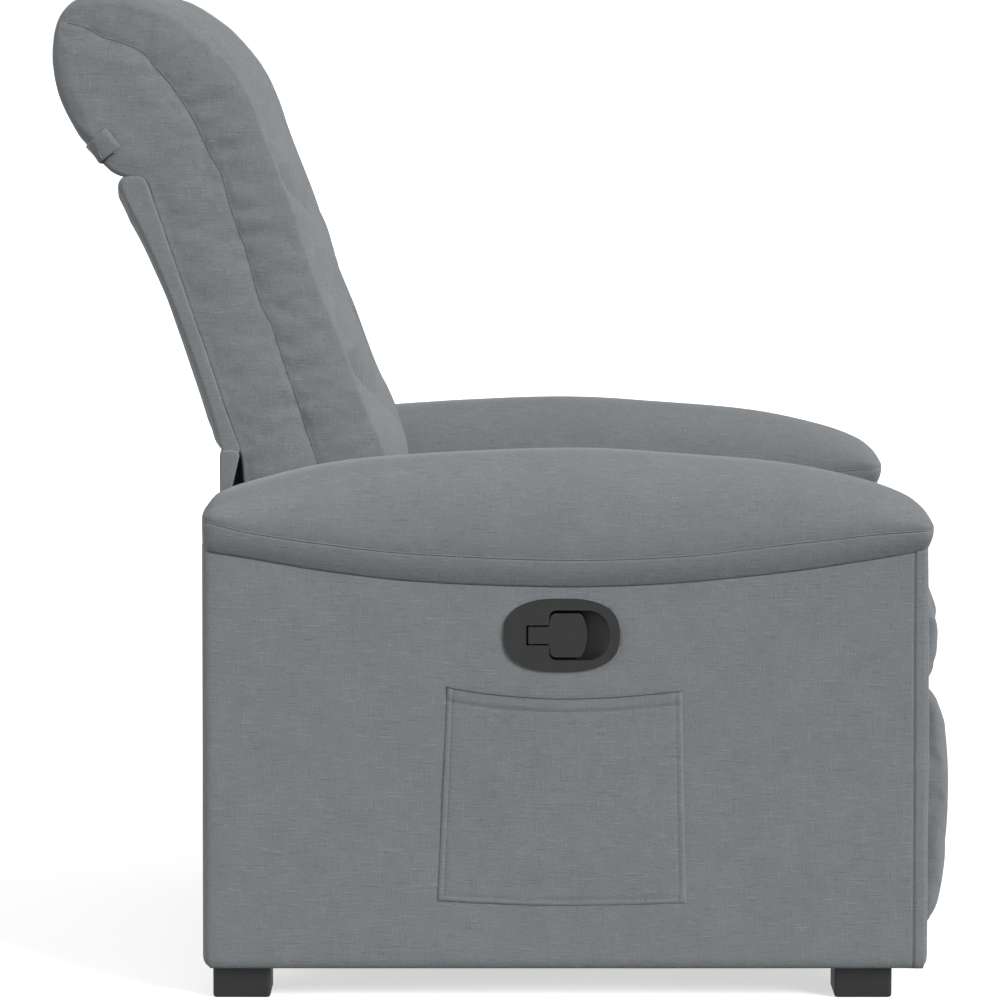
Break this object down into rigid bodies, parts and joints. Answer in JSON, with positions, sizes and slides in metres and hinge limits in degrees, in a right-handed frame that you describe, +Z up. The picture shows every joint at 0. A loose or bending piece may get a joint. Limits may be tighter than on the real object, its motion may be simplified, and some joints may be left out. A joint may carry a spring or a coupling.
{
  "type": "recliner armchair",
  "caption": "Fabric recliner armchair with padded box arms, a tufted tilting back, a sliding seat, a fold-out footrest, a pull latch and a side pocket.",
  "frame": {"origin": "on the floor under the middle of the chair's bounding box", "axes": "+Z up, the chair faces -Y, +X to the sitter's left"},
  "size_m": [0.77, 0.91, 1.015],
  "materials": {
    "grey_fabric": "woven melange upholstery fabric",
    "pocket_fabric": "woven melange upholstery fabric, hemmed",
    "pine": "sawn, unfinished",
    "black_steel": "black enamel",
    "zinc_steel": "bright zinc",
    "latch_plastic": "fine-grained moulded plastic",
    "foot_plastic": "moulded plastic",
    "cable_sheath": "smooth sheath"
  },
  "bodies": {
    "base": {"base_front_rail": "pine", "base_rear_rail": "pine", "base_upper_rail": "pine", "latch_bezel": "latch_plastic", "latch_pin": "zinc_steel", "left_arm_band": "grey_fabric", "left_arm_front_panel": "grey_fabric", "left_arm_front_post": "pine", "left_arm_inner_panel": "grey_fabric", "left_arm_outer_panel": "grey_fabric", "left_arm_pad": "grey_fabric", "left_arm_rear_panel": "grey_fabric", "left_arm_rear_post": "pine", "left_base_side_plate": "black_steel", "left_front_foot": "foot_plastic", "left_rear_foot": "foot_plastic", "rear_skirt": "grey_fabric", "release_cable": "cable_sheath", "right_arm_band": "grey_fabric", "right_arm_front_panel": "grey_fabric", "right_arm_front_post": "pine", "right_arm_inner_panel": "grey_fabric", "right_arm_outer_panel": "grey_fabric", "right_arm_pad": "grey_fabric", "right_arm_rear_panel": "grey_fabric", "right_arm_rear_post": "pine", "right_base_side_plate": "black_steel", "right_front_foot": "foot_plastic", "right_rear_foot": "foot_plastic", "side_pocket": "pocket_fabric"},
    "seat": {"left_seat_plate": "black_steel", "left_seat_side_rail": "pine", "right_seat_plate": "black_steel", "right_seat_side_rail": "pine", "seat_cushion": "grey_fabric", "seat_front_rail": "pine", "seat_rear_rail": "pine", "seat_spring_1": "black_steel", "seat_spring_2": "black_steel", "seat_spring_3": "black_steel"},
    "back": {"back_board": "pine", "back_cushion": "grey_fabric", "back_panel": "grey_fabric", "closure_strap": "grey_fabric", "left_back_bracket": "black_steel", "right_back_bracket": "black_steel"},
    "rear_links": {"left_rear_link": "black_steel", "right_rear_link": "black_steel", "torque_tube": "black_steel"},
    "front_links": {"left_front_link": "black_steel", "right_front_link": "black_steel"},
    "couplers": {"left_coupler": "black_steel", "right_coupler": "black_steel"},
    "drag_links": {"left_drag_link": "black_steel", "right_drag_link": "black_steel"},
    "footrest": {"footrest_board": "pine", "footrest_pad": "grey_fabric", "left_footrest_bracket": "black_steel", "right_footrest_bracket": "black_steel"},
    "lever": {"latch_lever": "latch_plastic"}
  },
  "joints": [
    {"name": "recline", "type": "hinge", "parent": "base", "child": "back", "pos_m": [0, 0.13, 0.4], "axis": [-1, 0, 0], "range_deg": [0, 37], "deforming": ["rear_skirt"]},
    {"name": "seat_slide", "type": "slide", "parent": "base", "child": "seat", "axis": [0, -1, 0], "range_m": [0, 0.04]},
    {"name": "footrest_swing", "type": "hinge", "parent": "seat", "child": "rear_links", "pos_m": [0, -0.26, 0.277], "axis": [-1, 0, 0], "range_deg": [0, 94]},
    {"name": "front_link_swing", "type": "hinge", "parent": "seat", "child": "front_links", "pos_m": [0, -0.31, 0.312], "axis": [-1, 0, 0], "range_deg": [0, 94]},
    {"name": "coupler_turn", "type": "hinge", "parent": "rear_links", "child": "couplers", "pos_m": [0, -0.20168, 0.06383], "axis": [-1, 0, 0], "range_deg": [-94, 0]},
    {"name": "drag_link_turn", "type": "hinge", "parent": "front_links", "child": "drag_links", "pos_m": [0, -0.26224, 0.13742], "axis": [-1, 0, 0], "range_deg": [-94, 0]},
    {"name": "footrest_turn", "type": "hinge", "parent": "couplers", "child": "footrest", "pos_m": [0, -0.385, 0.185], "axis": [-1, 0, 0], "range_deg": [0, 94]},
    {"name": "latch", "type": "hinge", "parent": "base", "child": "lever", "pos_m": [-0.372, -0.0322, 0.372], "axis": [0, 0, -1], "range_deg": [0, 32], "stiffness_Nm_per_rad": 0.3}
  ],
  "couplings": [
    {"joint": "seat_slide", "follows": "recline", "m_per_rad": 0.06},
    {"joint": "front_link_swing", "follows": "footrest_swing", "ratio": 1},
    {"joint": "coupler_turn", "follows": "footrest_swing", "ratio": -1},
    {"joint": "drag_link_turn", "follows": "footrest_swing", "ratio": -1},
    {"joint": "footrest_turn", "follows": "footrest_swing", "ratio": 1}
  ]
}
